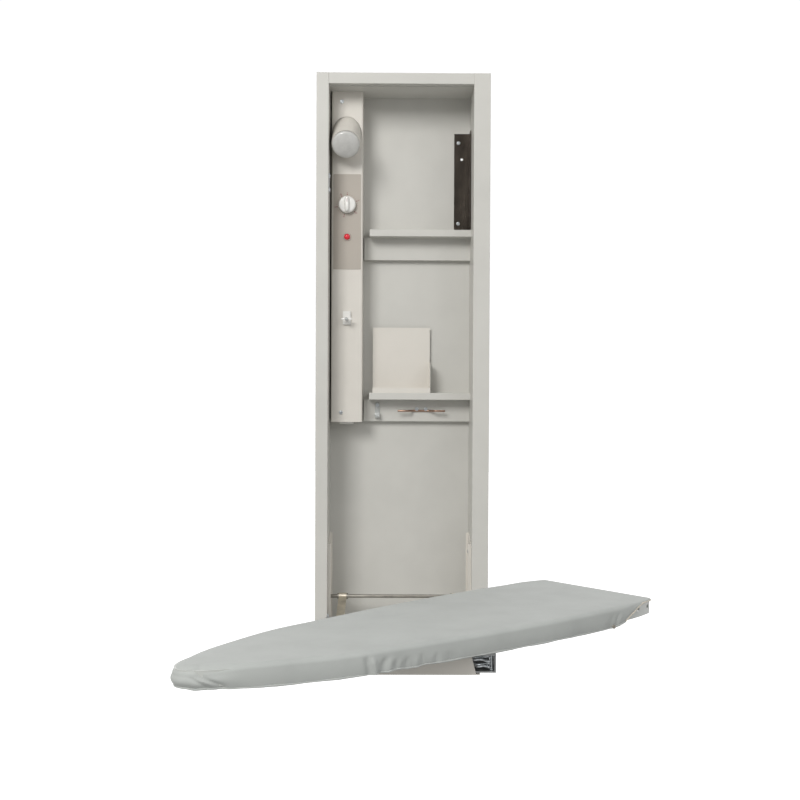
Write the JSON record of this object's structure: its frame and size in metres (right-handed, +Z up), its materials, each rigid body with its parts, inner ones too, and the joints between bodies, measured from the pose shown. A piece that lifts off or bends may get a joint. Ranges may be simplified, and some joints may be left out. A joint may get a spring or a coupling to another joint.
{
  "type": "built-in wall ironing board",
  "caption": "Recessed wall cabinet with timer box, lamp, shelves and a padded ironing board that folds down on straps and swivels on its arm.",
  "frame": {"origin": "centre of the four wall-screw holes, on the rear face of the back panel", "axes": "+Z up, +Y into the wall, +X to the right of a person facing the cabinet"},
  "size_m": [0.8484, 1.0335, 1.3],
  "materials": {
    "cabinet_paint": "warm white satin lacquer on board",
    "box_paint": "beige satin powder coat on sheet steel",
    "zinc": "bright zinc plate",
    "strap_steel": "bare drawn steel, slightly dull",
    "rail_steel": "grey galvanised sheet",
    "pan_steel": "light grey painted sheet",
    "dark_steel": "dark rolled steel with an oily shine",
    "copper_wire": "copper-washed steel wire",
    "white_plastic": "moulded, semi-gloss",
    "clear_plastic": "translucent moulded",
    "bezel_plastic": "clear moulded ring",
    "label_film": "printed film, matte",
    "red_lens": "polished translucent red",
    "socket_ceramic": "glazed",
    "frosted_glass": "frosted",
    "disc_nylon": "nylon",
    "pad_felt": "needled felt",
    "cover_cloth": "silver-grey coated cotton, soft sheen"
  },
  "bodies": {
    "cabinet": {"back_panel": "cabinet_paint", "side_panel_left": "cabinet_paint", "side_panel_right": "cabinet_paint", "top_panel": "cabinet_paint", "bottom_panel": "cabinet_paint", "frame_stile_left": "cabinet_paint", "frame_stile_right": "cabinet_paint", "frame_rail_top": "cabinet_paint", "frame_rail_bottom": "cabinet_paint", "hinge_leaves": "zinc", "hinge_screws": "zinc", "cable_bushing": "white_plastic", "shelf_upper": "cabinet_paint", "shelf_lower": "cabinet_paint", "cleat_upper": "cabinet_paint", "cleat_lower": "cabinet_paint", "storage_tray": "box_paint", "iron_rest": "dark_steel", "iron_rest_screws": "zinc", "cord_cleat": "copper_wire", "cord_cleat_screws": "zinc", "cord_clip": "clear_plastic", "cord_clip_screw": "zinc", "control_box_cover": "box_paint", "control_box_back": "box_paint", "control_box_screws": "zinc", "label_plate": "label_film", "timer_body": "white_plastic", "pilot_bezel": "bezel_plastic", "pilot_lens": "red_lens", "switch_body": "white_plastic", "outlet": "white_plastic", "terminal_block": "white_plastic", "lamp_shroud": "box_paint", "lamp_socket": "socket_ceramic", "reflector_bulb": "frosted_glass", "side_channel_left": "box_paint", "side_channel_right": "box_paint", "channel_screws": "zinc", "cross_rod": "strap_steel", "rod_collars": "zinc"},
    "timer": {"timer_knob": "white_plastic"},
    "switch": {"switch_plunger": "clear_plastic"},
    "straps": {"strap_left": "strap_steel", "strap_right": "strap_steel"},
    "arm": {"arm_rail_left": "rail_steel", "arm_rail_right": "rail_steel", "arm_pins": "zinc", "arm_end_plate": "box_paint", "arm_deck": "rail_steel", "fold_springs": "zinc", "spring_posts": "zinc", "pivot_bolt": "zinc", "pivot_nut": "zinc"},
    "disc": {"swivel_disc": "disc_nylon"},
    "board": {"swivel_bracket": "rail_steel", "board_pan": "pan_steel", "board_pad": "pad_felt", "board_cover": "cover_cloth"}
  },
  "joints": [
    {"name": "strap_fold", "type": "hinge", "parent": "cabinet", "child": "straps", "pos_m": [-0.0047, -0.075, -0.492], "axis": [-1, 0, 0], "range_deg": [0, 57.5]},
    {"name": "arm_fold", "type": "hinge", "parent": "straps", "child": "arm", "pos_m": [-0.0047, -0.245, -0.519], "axis": [-1, 0, 0], "range_deg": [0, 32.5]},
    {"name": "disc_swivel_right", "type": "hinge", "parent": "arm", "child": "disc", "pos_m": [-0.0047, -0.719, -0.458], "axis": [0, 0, -1], "range_deg": [-90, 0]},
    {"name": "board_swivel_left", "type": "hinge", "parent": "disc", "child": "board", "pos_m": [-0.0047, -0.719, -0.455], "axis": [0, 0, 1], "range_deg": [-41.3, 48.7]},
    {"name": "timer_turn", "type": "hinge", "parent": "cabinet", "child": "timer", "pos_m": [-0.129, -0.071, 0.416], "axis": [0, 1, 0], "range_deg": [0, 300]},
    {"name": "switch_press", "type": "slide", "parent": "cabinet", "child": "switch", "axis": [0, 1, 0], "range_m": [0, 0.013], "stiffness_N_per_m": 150}
  ]
}
